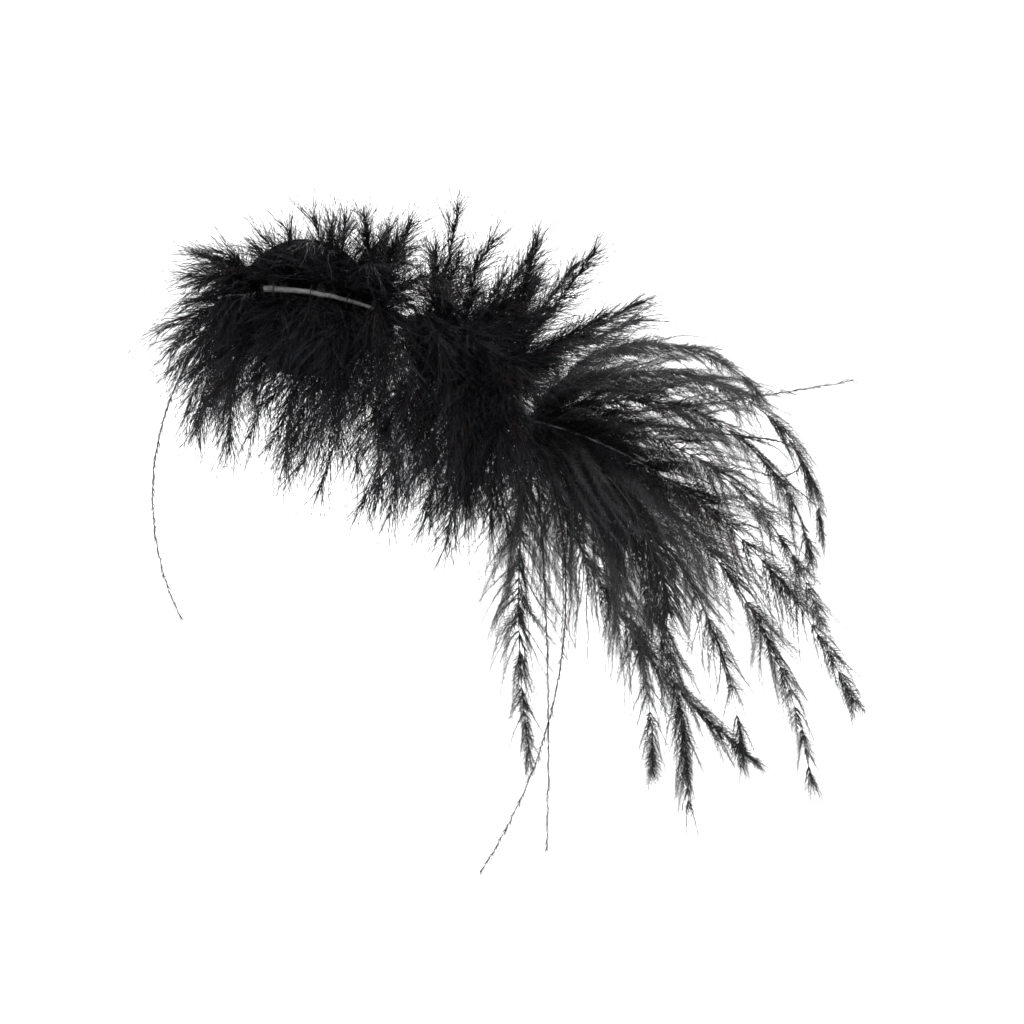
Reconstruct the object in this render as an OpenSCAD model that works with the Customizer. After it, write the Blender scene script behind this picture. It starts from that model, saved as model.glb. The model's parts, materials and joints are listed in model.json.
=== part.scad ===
// Short feather boa for costume wear. A wired cord is bent to an arch, dressed all round with
// marabou plumes and closed at its free end with a fan of ostrich plumes. A round felt base at
// the fixed end is what gets sewn or pinned to a garment, a band or a hat.
// Millimetres. X runs from the base to the plumes, +Y points away from the front, +Z is up.
// The origin is the centre of the base's back face.

/* [Core] */
// Radius of the arch that the core is bent to
arch_r = 152; // [130:1:190]
// Length of the core along its own line
core_len = 160; // [150:1:185]
// Radius of the twisted cord
core_r = 3; // [2:0.1:4]
// Radius of the spring wire inside the cord
wire_r = 0.6; // [0.4:0.05:0.9]

/* [Felt base] */
// Radius of the round felt base
base_r = 34.5; // [30:0.5:40]
// Thickness of one layer of felt
felt_t = 1.6; // [1:0.1:2.5]
// Number of stitches round the base
base_stitch_count = 36; // [12:1:48]
// Number of stitches that hold the core on the base
couching_count = 3; // [2:1:3]

/* [Thread] */
// Radius of the binding thread
thread_r = 0.35; // [0.2:0.05:0.45]
// Turns of thread over each ring of marabou quills
whipping_turns = 6; // [3:1:6]
// Turns of thread over the row of plume butts
seizing_turns = 6; // [4:1:6]

/* [Marabou] */
// Radius of a marabou quill where it is bound
quill_r = 0.8; // [0.5:0.05:1]
// Length of quill that lies under the thread
butt_len = 7; // [6:0.5:8]
// Distance between rings of marabou
ring_pitch = 18.5; // [17:0.5:20]
// Full width of a marabou plume at its widest
marabou_w = 13; // [8:0.5:15]
// Full thickness of a marabou plume
marabou_t = 9; // [6:0.5:10]
// Length of the marabou against its usual length
marabou_scale = 1; // [0.8:0.05:1.2]

/* [Stripped quill] */
// Radius of the bare cut quill that lies along the front of the core
stripped_r = 1.3; // [1:0.1:1.8]

/* [Ostrich plumes] */
// Radius of an ostrich quill where it is bound
plume_quill_r = 0.7; // [0.5:0.05:0.75]
// Distance between neighbouring quills in the bound row
plume_row_pitch = 1.8; // [1.8:0.1:2.4]
// Angle between neighbouring plumes, from front to back
plume_spread = 4.5; // [4.5:0.5:5.5]
// Full width of a plume's vane
vane_w = 18; // [10:1:24]
// Full thickness of a plume's vane
vane_t = 3; // [2:0.1:3.2]
// Length of the plumes against their usual length
plume_scale = 1; // [0.8:0.05:1.2]
// Radius of a single loose herl
herl_r = 0.6; // [0.4:0.05:0.7]

/* [Plume strip] */
// Thickness of the buckram strip under the plume butts
strip_t = 1; // [0.8:0.1:1.4]
// Length of the strip along the core
strip_len = 12; // [11:0.5:14]

/* [Hidden] */
$fn = 48;
clearance = 0.1;         // between parts that lie against each other
swing_gap = 0.5;         // between a plume that sways and its bound butt
crest = [-18.5, 8];      // X and Z of the arch's highest point
core_lead = 13;          // how far the core starts before the crest, along its line
sweep_sides = 8;
tuft_steps = 8;          // path steps of a marabou plume beyond its bound butt
plume_steps = 14;
tip_r = 0.5;
turn_pitch = 2.2 * thread_r;
RINGS_PER_HALF = 4;
RING_FIRST = [7, 91];    // where the first ring of each half sits, along the core

quill_ring = core_r + quill_r + clearance;              // from core line to quill line
whipping_ring = quill_ring + quill_r + clearance + thread_r;
whipping_reach = whipping_ring + thread_r + clearance;
core_y = -(2 * felt_t + whipping_reach);
stripped_off = whipping_reach + stripped_r;             // in front of the core's line
loop_r = core_r + clearance + thread_r;                 // of stitches that go round the core
wire_bore_r = wire_r + clearance;

strip_lift = core_r + 2 * (thread_r + clearance);       // core line to the strip's underside
butt_lift = strip_lift + strip_t + clearance + plume_quill_r;
strip_mid = core_len - strip_len / 2;
strip_edge = 1;                                         // beyond the row of butts
seizing_pitch = 4.4 * thread_r;
plume_stub = 3;          // straight start of a plume quill beyond its butt

// Marabou plumes: [ring, angle round the core (0 up, 90 front, 180 down), lean along the core,
// length, droop]. Rings 0 to 3 are on the fixed half, 4 to 7 on the free half.
MARABOU = [
    [0,  88, -62,  54, 0.5], [0,  58, -34,  50, 0.8], [0, 138, -40,  88, 0.7], [0, 180, -28,  96, 0.5],
    [1,  40, -30,  48, 0.2], [1, 118, -38,  92, 0.9], [1, 165, -30, 104, 0.5],
    [2,  10, -10,  54, 0.0], [2,  62, -14,  84, 1.3], [2, 138, -16, 108, 0.9], [2, 180, -10, 112, 0.4],
    [3,   0,   4,  58, 0.0], [3,  64,  -2,  84, 1.2], [3, 122,   0, 104, 1.0], [3, 172,   0, 112, 0.4],
    [4,   0,   4,  66, 0.0], [4,  85,  10,  96, 1.2], [4, 172,  18, 112, 0.6], [4, 275,   4,  82, 0.9],
    [5,  35,  10,  66, 0.1], [5, 130,  16, 108, 1.0], [5, 225,  14, 104, 0.9], [5, 320,   4,  64, 0.1],
    [6,   8,  -2,  88, 0.0], [6,  90,   8,  98, 1.2], [6, 178,  30, 104, 0.7], [6, 270,   0,  86, 0.9],
    [6, 322,  16,  64, 0.1], [7, 120,   6,  92, 1.0], [7, 215,  12,  92, 0.9],
];

// The fan from front to back: [angle where the plume starts, angle at its tip, length, kind].
// Angles are in the XZ plane from +X, and lengths are as seen from the front.
PLUME = 1;
HERL = 0;
FAN = [
    [-15, -70, 225, PLUME], [-68, -125, 232, HERL], [-25, -85, 118, PLUME], [5, -75, 200, PLUME],
    [-45, -92, 232, PLUME], [28, -80, 195, PLUME], [4, 10, 169, HERL], [-22, -82, 262, PLUME],
    [-84, -92, 215, HERL], [-75, -38, 232, PLUME], [45, -85, 222, PLUME], [-30, -85, 238, PLUME],
    [-52, -89, 220, PLUME], [64, -50, 162, PLUME], [-98, -82, 200, PLUME],
];

// The loose herl at the fixed end: its first angle, its last angle, its length and its lean
TAIL_HERL = [222, 296, 178, 6];

function numbered(name, i) = str(name, i < 9 ? "_0" : "_", i + 1);
function marabou_name(i) = numbered("marabou_plume", i);
function fan_name(i) = numbered(FAN[i][3] == PLUME ? "ostrich_plume" : "ostrich_herl", i);

// ---- Vectors and the core's line ----

function unit(v) = v / norm(v);
function square_to(v, axis) = unit(v - (v * axis) * axis);
function mix(a, b, t) = a + (b - a) * t;
function clamp01(t) = max(0, min(1, t));

function arch_angle(s) = 90 + (core_lead - s) / arch_r * 180 / PI;
function core_out(s) = [cos(arch_angle(s)), 0, sin(arch_angle(s))];
function core_dir(s) = [sin(arch_angle(s)), 0, -cos(arch_angle(s))];
function core_at(s) = [crest[0], core_y, crest[1] - arch_r] + arch_r * core_out(s);
function around(s, phi) = cos(phi) * core_out(s) - sin(phi) * [0, 1, 0];

// Points from p0 on, each a step further along its heading
function walk(p0, headings, step) =
    let (ends = [for (i = 0, p = p0; i < len(headings); p = p + step * unit(headings[i]), i = i + 1)
        p + step * unit(headings[i])])
        concat([p0], ends);

// A plume swells from its quill to its full size and tapers to the tip
function swell(t, small, full) =
    t < 0.12 ? small
    : t < 0.45 ? mix(small, full, sin(90 * (t - 0.12) / 0.33))
    : mix(tip_r, full, cos(90 * (t - 0.45) / 0.55));

// ---- Sweeps ----

// A closed tube of elliptical rings. half_w lies along the side vector and half_t across it.
module swept(path, half_w, half_t, side) {
    n = len(path);
    m = sweep_sides;
    dirs = [for (i = [0 : n - 1]) unit(path[min(i + 1, n - 1)] - path[max(i - 1, 0)])];
    us = [for (i = 0, u = square_to(side, dirs[0]); i < n;
               i = i + 1, u = square_to(u, dirs[min(i, n - 1)])) u];
    rings = [
        for (i = [0 : n - 1])
            let (v = cross(dirs[i], us[i]))
                for (k = [0 : m - 1])
                    path[i] + half_w[i] * cos(360 * k / m) * us[i] + half_t[i] * sin(360 * k / m) * v
    ];
    walls = [
        for (i = [0 : n - 2], k = [0 : m - 1])
            let (a = i * m + k, b = i * m + (k + 1) % m)
                each [[a, a + m, b], [b, a + m, b + m]]
    ];
    caps = [[for (k = [0 : m - 1]) k], [for (k = [m - 1 : -1 : 0]) (n - 1) * m + k]];
    polyhedron(points = rings, faces = concat(walls, caps), convexity = 6);
}

// A solid of the child's section along the core's line, off to the front by depth
module core_sweep(from, to, depth = 0) {
    translate([crest[0], core_y - depth, crest[1] - arch_r])
        rotate([90, 0, 0])
            rotate([0, 0, arch_angle(to)])
                rotate_extrude(angle = arch_angle(from) - arch_angle(to), $fn = 96)
                    translate([arch_r, 0]) children();
}

// Places a child on the core's line: its Z along the core, its X outwards and its Y to the back
module on_core(s) {
    a = arch_angle(s);
    multmatrix([
        [cos(a), 0, sin(a), core_at(s)[0]],
        [0, 1, 0, core_y],
        [sin(a), 0, -cos(a), core_at(s)[2]],
        [0, 0, 0, 1]
    ]) children();
}

module thread_ring(r) {
    rotate_extrude() translate([r, 0]) circle(thread_r);
}

// A hairpin of thread in the XY plane: its bend faces -X at x = from, its legs end at x = to
module hairpin(from, to) {
    translate([from, 0]) rotate([0, 0, 90])
        rotate_extrude(angle = 180) translate([loop_r, 0]) circle(thread_r);
    for (side = [-loop_r, loop_r])
        translate([from, side, 0]) rotate([0, 90, 0]) cylinder(r = thread_r, h = to - from);
}

// ---- Felt base ----

// One layer of felt, with its back at depth y
module felt_layer(y) {
    translate([0, y, 0]) rotate([90, 0, 0]) cylinder(r = base_r, h = felt_t, $fn = 96);
}

module base_back_felt() {
    color([0.05, 0.05, 0.06]) felt_layer(0);
}

module base_front_felt() {
    color([0.07, 0.065, 0.08]) felt_layer(-felt_t);
}

// Running stitches along the rim, sunk by half their thickness into the front layer
module base_stitches() {
    rim = base_r - 2.2;
    length = 2 * PI * rim / base_stitch_count * 0.55;
    color([0.12, 0.12, 0.13])
        translate([0, -2 * felt_t, 0])
            for (i = [0 : base_stitch_count - 1])
                rotate([0, 360 * (i + 0.5) / base_stitch_count, 0])
                    translate([0, 0, rim]) rotate([0, 90, 0])
                        cylinder(r = thread_r, h = length, center = true);
}

// ---- Core ----

module core_cord() {
    color([0.03, 0.03, 0.035])
        core_sweep(0, core_len) difference() {
            circle(core_r);
            circle(wire_bore_r);
        }
}

module core_wire() {
    color([0.45, 0.45, 0.47]) core_sweep(0.5, core_len - 0.5) circle(wire_r);
}

// Stitches that hold the core and the stripped quill down on the felt
module couching_stitches() {
    color([0.12, 0.12, 0.13])
        for (i = [0 : couching_count - 1])
            on_core(ring_at(0) + ring_pitch * (i + 0.55)) rotate([0, 0, 90])
                hairpin(-stripped_off, -core_y - felt_t / 2);
}

module end_whipping() {
    color([0.12, 0.12, 0.13])
        for (i = [0 : 1]) on_core(0.5 + i * turn_pitch) thread_ring(loop_r);
}

// The bare butt of a plume, cut off square
module stripped_quill() {
    color([0.32, 0.31, 0.30])
        core_sweep(ring_at(0) + 5, ring_at(3) + 6, stripped_off) circle(stripped_r);
}

// ---- Marabou ----

function ring_at(ring) =
    ring < RINGS_PER_HALF ? RING_FIRST[0] + ring * ring_pitch
    : RING_FIRST[1] + (ring - RINGS_PER_HALF) * ring_pitch;
function ring_exit(ring) = ring == 0 ? -1 : 1;

// The turns of thread over the quills of the rings of one half
module binding_thread(half) {
    color([0.12, 0.12, 0.13])
        for (i = [0 : RINGS_PER_HALF - 1])
            let (ring = half * RINGS_PER_HALF + i)
                for (k = [0 : whipping_turns - 1])
                    on_core(ring_at(ring) - ring_exit(ring) * butt_len / 2
                            + (k - (whipping_turns - 1) / 2) * turn_pitch)
                        thread_ring(whipping_ring);
}

module binding_thread_fixed() {
    binding_thread(0);
}

module binding_thread_free() {
    binding_thread(1);
}

function marabou_path(m) =
    let (
        s = ring_at(m[0]),
        e = ring_exit(m[0]),
        phi = m[1],
        main = cos(m[2]) * around(s, phi) + sin(m[2]) * core_dir(s),
        bound = [for (i = [0 : 2])
            let (q = s - e * butt_len * (1 - i / 2)) core_at(q) + quill_ring * around(q, phi)],
        headings = [for (i = [0 : tuft_steps - 1])
            mix(e * core_dir(s), main, clamp01((i + 0.6) / 1.6)) - [0, 0, m[4] * i / tuft_steps]]
    )
        concat([bound[0], bound[1]], walk(bound[2], headings, m[3] * marabou_scale / tuft_steps));

module marabou_plume(i) {
    m = MARABOU[i];
    path = marabou_path(m);
    s = ring_at(m[0]);
    t = [for (k = [0 : len(path) - 1]) clamp01((k - 2) / tuft_steps)];
    color([0.04, 0.04, 0.05])
        swept(path, [for (x = t) swell(x, quill_r, marabou_w / 2)],
              [for (x = t) swell(x, quill_r, marabou_t / 2)], cross(core_dir(s), around(s, m[1])));
}

// ---- Ostrich plumes and loose herls ----

fan_mid = (len(FAN) - 1) / 2;
row_w = (len(FAN) - 1) * plume_row_pitch + 2 * plume_quill_r;
function row_y(i) = (i - fan_mid) * plume_row_pitch;
function fan_lean(i) = (i - fan_mid) * plume_spread;
function fan_root(i) =
    core_at(strip_mid) + butt_lift * core_out(strip_mid)
    + (strip_len / 2 + swing_gap) * core_dir(strip_mid) + [0, row_y(i), 0];

// A path whose heading turns evenly in the XZ plane while it leans off that plane
function arc_path(root, from, to, len, lean) =
    walk(root, [for (k = [0 : plume_steps - 1])
        let (a = mix(from, to, (k + 0.5) / plume_steps))
            [cos(a) * cos(lean), sin(lean), sin(a) * cos(lean)]], len / cos(lean) / plume_steps);

function fan_path(i) =
    let (root = fan_root(i), f = FAN[i])
        concat([root], arc_path(root + plume_stub * core_dir(strip_mid), f[0], f[1],
                                f[2] * plume_scale, fan_lean(i)));

module fan_member(i) {
    f = FAN[i];
    full = f[3] == PLUME ? [vane_w, vane_t] / 2 : [herl_r, herl_r];
    small = f[3] == PLUME ? plume_quill_r : herl_r;
    t = [for (k = [0 : plume_steps + 1]) max(0, k - 1) / plume_steps];
    color([0.03, 0.03, 0.035])
        swept(fan_path(i), [for (x = t) swell(x, small, full[0])],
              [for (x = t) swell(x, small, full[1])], core_out(strip_mid));
}

// The herl that trails from the core's fixed end
module tail_herl() {
    root = core_at(0) + [0, core_r + herl_r + clearance, -1];
    path = arc_path(root, TAIL_HERL[0], TAIL_HERL[1], TAIL_HERL[2], TAIL_HERL[3]);
    color([0.06, 0.05, 0.05])
        swept(path, [for (p = path) herl_r], [for (p = path) herl_r], [0, 1, 0]);
}

// The stiff strip that the plume butts are sewn to
module plume_strip() {
    color([0.05, 0.05, 0.05])
        on_core(strip_mid)
            translate([strip_lift + strip_t / 2, 0, 0])
                cube([strip_t, row_w + 2 * strip_edge, strip_len], center = true);
}

// Stitches that hold the strip on the core
module plume_lashing() {
    color([0.12, 0.12, 0.13])
        for (i = [-2, 0, 2])
            on_core(strip_mid)
                translate([0, 0, (i + seizing_turns % 2 / 2) * seizing_pitch])
                    hairpin(0, strip_lift + strip_t);
}

// The bound ends of the plume quills, side by side on the strip
module plume_butts() {
    color([0.14, 0.13, 0.12])
        on_core(strip_mid)
            for (i = [0 : len(FAN) - 1])
                translate([butt_lift, row_y(i), 0])
                    cylinder(r = plume_quill_r, h = strip_len, center = true);
}

// Turns of thread round the strip and the butts, each turn a rounded rectangle
module plume_seizing() {
    low = strip_lift - thread_r - clearance / 2;
    high = butt_lift + plume_quill_r + thread_r + clearance;
    half = row_w / 2 + strip_edge + thread_r + clearance;
    color([0.12, 0.12, 0.13])
        for (k = [0 : seizing_turns - 1])
            on_core(strip_mid) translate([0, 0, (k - (seizing_turns - 1) / 2) * seizing_pitch]) {
                for (x = [low, high])
                    translate([x, 0, 0]) rotate([90, 0, 0])
                        cylinder(r = thread_r, h = 2 * (half + thread_r), center = true);
                for (y = [-half, half])
                    translate([low, y, 0]) rotate([0, 90, 0]) cylinder(r = thread_r, h = high - low);
            }
}

base_back_felt();
base_front_felt();
base_stitches();
core_cord();
core_wire();
couching_stitches();
end_whipping();
binding_thread_fixed();
binding_thread_free();
plume_strip();
plume_lashing();
plume_butts();
plume_seizing();
stripped_quill();
tail_herl();
for (i = [0 : len(MARABOU) - 1]) marabou_plume(i);
for (i = [0 : len(FAN) - 1]) fan_member(i);
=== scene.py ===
"""A short black feather boa: a wired cord dressed with marabou, closed with a fan of plumes.

Every plume is grown on the line of its own solid in the frame: shafts first, then barbs on the
shafts, then barbules on the barbs. The felt base, the cord, the threads and the bare quill are
made the same way, each as a piece that rides with its own body.
"""
import json
import logging
import math
import random
from collections.abc import Callable
from dataclasses import asdict, dataclass, field
from enum import Enum

import bmesh
import bpy
from mathutils import Matrix, Vector, noise
from mathutils.kdtree import KDTree
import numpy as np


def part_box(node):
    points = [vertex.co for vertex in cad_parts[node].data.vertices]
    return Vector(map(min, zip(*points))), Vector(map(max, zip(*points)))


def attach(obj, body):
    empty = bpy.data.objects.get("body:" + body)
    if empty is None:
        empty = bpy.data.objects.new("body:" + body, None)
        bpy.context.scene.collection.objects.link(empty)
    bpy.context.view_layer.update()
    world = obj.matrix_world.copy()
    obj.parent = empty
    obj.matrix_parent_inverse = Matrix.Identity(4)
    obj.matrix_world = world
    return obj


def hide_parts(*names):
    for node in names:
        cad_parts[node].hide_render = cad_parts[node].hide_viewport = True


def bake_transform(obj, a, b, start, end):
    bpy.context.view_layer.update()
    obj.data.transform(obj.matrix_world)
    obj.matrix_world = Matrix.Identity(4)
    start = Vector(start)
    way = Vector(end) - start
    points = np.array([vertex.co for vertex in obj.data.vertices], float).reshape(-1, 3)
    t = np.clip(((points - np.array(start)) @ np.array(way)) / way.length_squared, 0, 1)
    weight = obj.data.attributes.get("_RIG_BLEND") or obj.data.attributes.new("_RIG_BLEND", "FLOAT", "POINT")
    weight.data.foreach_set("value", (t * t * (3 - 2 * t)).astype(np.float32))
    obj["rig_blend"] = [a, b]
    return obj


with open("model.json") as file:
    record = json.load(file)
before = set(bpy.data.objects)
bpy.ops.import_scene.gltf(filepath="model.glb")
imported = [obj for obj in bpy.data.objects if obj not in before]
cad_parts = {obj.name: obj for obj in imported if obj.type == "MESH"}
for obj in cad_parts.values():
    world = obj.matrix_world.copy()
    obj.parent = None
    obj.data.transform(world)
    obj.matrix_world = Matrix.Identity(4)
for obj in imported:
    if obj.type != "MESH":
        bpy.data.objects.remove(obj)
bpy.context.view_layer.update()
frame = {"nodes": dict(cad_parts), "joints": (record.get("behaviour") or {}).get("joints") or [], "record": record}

LOG = logging.getLogger("feather_boa")
MM = 0.001
UP = Vector((0.0, 0.0, 1.0))
BACK = Vector((0.0, 1.0, 0.0))
DOWNWARD = (0.0, 0.0, -1.0)
STRAND_UV = "OFBake"
RING_SIDES = 8
VECTOR = "FLOAT_VECTOR"
SCRATCH_ATTRIBUTES = {"side", "reach", "girth", "slant", "lead", "jitter", "barb_length", "along",
                      "tone", "radius", "keep", "turn"}
Colour = tuple[float, float, float]


# ---------------------------------------------------------------- nodes

def arithmetic(operation: str, swapped: bool = False) -> Callable[["Value", object], "Value"]:
    """Returns an operator method that adds one math node.

    Args:
        operation: The node's operation.
        swapped: Whether the method's own value comes second.
    """

    def method(self: "Value", other: object) -> "Value":
        """Returns the node's result on this value and the other."""
        pair = (other, self) if swapped else (self, other)
        kind = "ShaderNodeVectorMath" if self.is_vector else "ShaderNodeMath"
        return self.nodes.out(kind, dict(enumerate(pair)), operation=operation)

    return method


class Value:
    """An output of a node that takes part in sums, as a number or as a vector."""

    __add__ = arithmetic("ADD")
    __radd__ = arithmetic("ADD", swapped=True)
    __sub__ = arithmetic("SUBTRACT")
    __rsub__ = arithmetic("SUBTRACT", swapped=True)
    __truediv__ = arithmetic("DIVIDE")
    __rtruediv__ = arithmetic("DIVIDE", swapped=True)
    __lt__ = arithmetic("LESS_THAN")
    __gt__ = arithmetic("GREATER_THAN")

    def __init__(self, nodes: "Nodes", socket: bpy.types.NodeSocket) -> None:
        """Wraps one output of a node in the tree that the nodes belong to."""
        self.nodes = nodes
        self.socket = socket
        self.is_vector = socket.type in {"VECTOR", "RGBA"}

    def __mul__(self, other: object) -> "Value":
        """Returns the product of two numbers, or a vector scaled by a number."""
        if not (self.is_vector or isinstance(other, tuple) or getattr(other, "is_vector", False)):
            return self.nodes.out("ShaderNodeMath", {0: self, 1: other}, operation="MULTIPLY")
        vector, factor = (self, other) if self.is_vector else (other, self)
        return self.nodes.out("ShaderNodeVectorMath", {0: vector, 3: factor}, operation="SCALE")

    def step(self, operation: str) -> "Value":
        """Returns the result of a Math node on this value alone, such as its sine."""
        return self.nodes.out("ShaderNodeMath", {0: self}, operation=operation)


class Nodes:
    """Adds nodes to one tree and joins them, so that a tree reads as a list of steps."""

    def __init__(self, tree: bpy.types.NodeTree) -> None:
        """Starts on a geometry or shader tree."""
        self.tree = tree
        self.count = 0

    def add(self, kind: str, feeds: dict | None = None, **settings: object) -> bpy.types.Node:
        """Adds one node.

        Args:
            kind: The node's type name.
            feeds: Socket name or number to a plain value or to the Value that feeds it.
            settings: Properties set on the node before it is fed.

        Returns:
            The new node.
        """
        node = self.tree.nodes.new(kind)
        node.location = (180.0 * (self.count // 4), -220.0 * (self.count % 4))
        self.count += 1
        for name, value in settings.items():
            setattr(node, name, value)
        for key, value in (feeds or {}).items():
            if isinstance(value, Value):
                self.tree.links.new(value.socket, node.inputs[key])
            else:
                node.inputs[key].default_value = value
        return node

    def out(self, kind: str, feeds: dict | None = None, output: int | str = 0,
            **settings: object) -> Value:
        """Adds a node and returns one of its outputs, the first if not told."""
        return Value(self, self.add(kind, feeds, **settings).outputs[output])

    def outs(self, kind: str, feeds: dict | None = None, **settings: object) -> dict[str, Value]:
        """Adds a node and returns its outputs by name."""
        return {s.name: Value(self, s) for s in self.add(kind, feeds, **settings).outputs}

    def mixed(self, factor: Value, first: object, second: object) -> Value:
        """Returns a blend of two colours."""
        return self.out("ShaderNodeMix", {0: factor, 6: first, 7: second}, 2, data_type="RGBA")

    def grain(self, place: Value, scale: float, detail: float, **feeds: float) -> Value:
        """Returns the height of a noise texture, with further sockets fed by name."""
        names = {key.title(): value for key, value in feeds.items()}
        return self.out("ShaderNodeTexNoise", {"Vector": place, "Scale": scale, "Detail": detail,
                                               **names}, "Fac")


class GeometryTree(Nodes):
    """A geometry tree with named inputs, ending in real geometry with its materials."""

    NAME = ""
    INPUTS: dict[str, str] = {}

    def __init__(self) -> None:
        """Makes the tree with its inputs and its nodes."""
        super().__init__(bpy.data.node_groups.new(self.NAME, "GeometryNodeTree"))
        face = self.tree.interface
        for name, kind in {"Geometry": "Geometry", **self.INPUTS}.items():
            face.new_socket(name=name, in_out="INPUT", socket_type="NodeSocket" + kind)
        face.new_socket(name="Geometry", in_out="OUTPUT", socket_type="NodeSocketGeometry")
        self.put = self.outs("NodeGroupInput")
        self.add("NodeGroupOutput", {"Geometry": self.real(self.body())})

    def body(self) -> Value:
        """Adds the tree's own nodes and returns its geometry."""
        raise NotImplementedError

    def grow(self, name: str, mesh: bpy.types.Mesh, values: dict[str, object]) -> bpy.types.Object:
        """Runs the tree on a mesh and keeps the result as a plain mesh object.

        Args:
            name: Name of the finished object.
            mesh: What the tree starts from. It is used up.
            values: Input name to value.

        Returns:
            The finished object, with no modifier left on it.
        """
        seed = bpy.data.objects.new(name + "_lines", mesh)
        bpy.context.scene.collection.objects.link(seed)
        modifier = seed.modifiers.new("grow", "NODES")
        modifier.node_group = self.tree
        for item in self.tree.interface.items_tree:
            if item.in_out == "INPUT" and item.name in values:
                modifier[item.identifier] = values[item.name]
        bpy.context.view_layer.update()
        evaluated = seed.evaluated_get(bpy.context.evaluated_depsgraph_get())
        grown = bpy.data.meshes.new_from_object(evaluated)
        bpy.data.objects.remove(seed)
        bpy.data.meshes.remove(mesh)
        for scratch in [a.name for a in grown.attributes if a.name in SCRATCH_ATTRIBUTES]:
            grown.attributes.remove(grown.attributes[scratch])
        grown.name = name
        LOG.info("%s: %d faces", name, len(grown.polygons))
        return linked(name, grown)

    def real(self, geometry: Value) -> Value:
        """Returns the geometry with its instances made real."""
        return self.out("GeometryNodeRealizeInstances", {"Geometry": geometry})

    def chance(self, low: float, high: float, seed: object) -> Value:
        """Returns a random number for each element, the same on every run."""
        return self.out("FunctionNodeRandomValue", {2: low, 3: high, "Seed": seed}, 1,
                        data_type="FLOAT")

    def wild(self, most: float) -> Value:
        """Returns a random vector for each element, no part of it beyond plus or minus most."""
        return self.out("FunctionNodeRandomValue", {0: (-most,) * 3, 1: (most,) * 3,
                                                    "Seed": self.put["Seed"]}, data_type=VECTOR)

    def read(self, name: str, data_type: str = "FLOAT") -> Value:
        """Returns a named attribute."""
        return self.out("GeometryNodeInputNamedAttribute", {"Name": name}, "Attribute",
                        data_type=data_type)

    def store(self, geometry: Value, name: str, value: object, data_type: str = "FLOAT",
              domain: str = "POINT") -> Value:
        """Returns the geometry with a value kept on it under a name."""
        return self.out("GeometryNodeStoreNamedAttribute",
                        {"Geometry": geometry, "Name": name, "Value": value},
                        data_type=data_type, domain=domain)

    def turned(self, vector: Value, axis: Value, angle: Value) -> Value:
        """Returns a vector turned round an axis by an angle."""
        return self.out("ShaderNodeVectorRotate", {"Vector": vector, "Axis": axis, "Angle": angle},
                        rotation_type="AXIS_ANGLE")

    def sown(self, curves: Value, spacing: Value) -> dict[str, Value]:
        """Returns points along the curves, with their tangent and normal."""
        return self.outs("GeometryNodeCurveToPoints", {"Curve": curves, "Length": spacing},
                         mode="LENGTH")

    def copies(self, geometry: Value, amount: object, domain: str) -> dict[str, Value]:
        """Returns the geometry repeated, with the number of each copy."""
        return self.outs("GeometryNodeDuplicateElements",
                         {"Geometry": geometry, "Amount": amount}, domain=domain)

    def aimed(self, roll: Value, slant: Value) -> Value:
        """Returns the way a strand leaves its line: slanted off it, and rolled round it."""
        lead = self.read("lead", VECTOR)
        side = self.turned(self.read("side", VECTOR), lead, roll)
        return lead * slant.step("COSINE") + side * slant.step("SINE")

    def placed(self, points: Value, shape: Value, aim: Value, size: Value) -> Value:
        """Returns a real copy of a shape on each point, its length laid along the aim."""
        turn = self.out("FunctionNodeAlignRotationToVector", {"Vector": aim}, axis="Z")
        return self.real(self.out("GeometryNodeInstanceOnPoints", {
            "Points": points, "Instance": shape, "Rotation": turn, "Scale": size}))

    def spikes(self, points: Value, aim: Value, girth: Value, length: Value,
               height: str) -> Value:
        """Returns thin closed spikes on the points, each point's height kept under a name."""
        spike = self.out("GeometryNodeMeshCone", {
            "Vertices": 3, "Radius Top": 0.0, "Radius Bottom": 1.0, "Depth": 1.0},
            fill_type="NGON")
        place = self.outs("ShaderNodeSeparateXYZ", {0: self.out("GeometryNodeInputPosition")})
        spike = self.store(self.store(spike, height, place["Z"]), "turn", place["X"])
        size = self.out("ShaderNodeCombineXYZ", {"X": girth, "Y": girth, "Z": length})
        return self.placed(points, spike, aim, size)

    def tubes(self, curves: Value, scale: Value, sides: object, across: Value,
              finish: Value) -> Value:
        """Returns closed tubes on the curves, with their strand map and finish."""
        ring = self.out("GeometryNodeCurvePrimitiveCircle", {"Resolution": sides, "Radius": 1.0})
        ring = self.store(ring, "turn", self.out("GeometryNodeSplineParameter"))
        tube = self.out("GeometryNodeCurveToMesh", {
            "Curve": curves, "Profile Curve": ring, "Scale": scale, "Fill Caps": True})
        smooth = self.out("GeometryNodeSetShadeSmooth", {"Geometry": tube})
        return self.finished(smooth, self.read("along"), across, finish)

    def toned(self, share: float) -> Value:
        """Returns the strand map's place across, from each strand's tone and its turn."""
        return self.read("tone") * 0.9 + self.read("turn") * share

    def finished(self, geometry: Value, along: Value, across: Value, finish: Value) -> Value:
        """Returns the geometry with its strand map and its material."""
        spot = self.out("ShaderNodeCombineXYZ", {"X": along, "Y": across})
        mapped = self.store(geometry, STRAND_UV, spot, "FLOAT2", "CORNER")
        return self.out("GeometryNodeSetMaterial", {"Geometry": mapped, "Material": finish})


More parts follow.
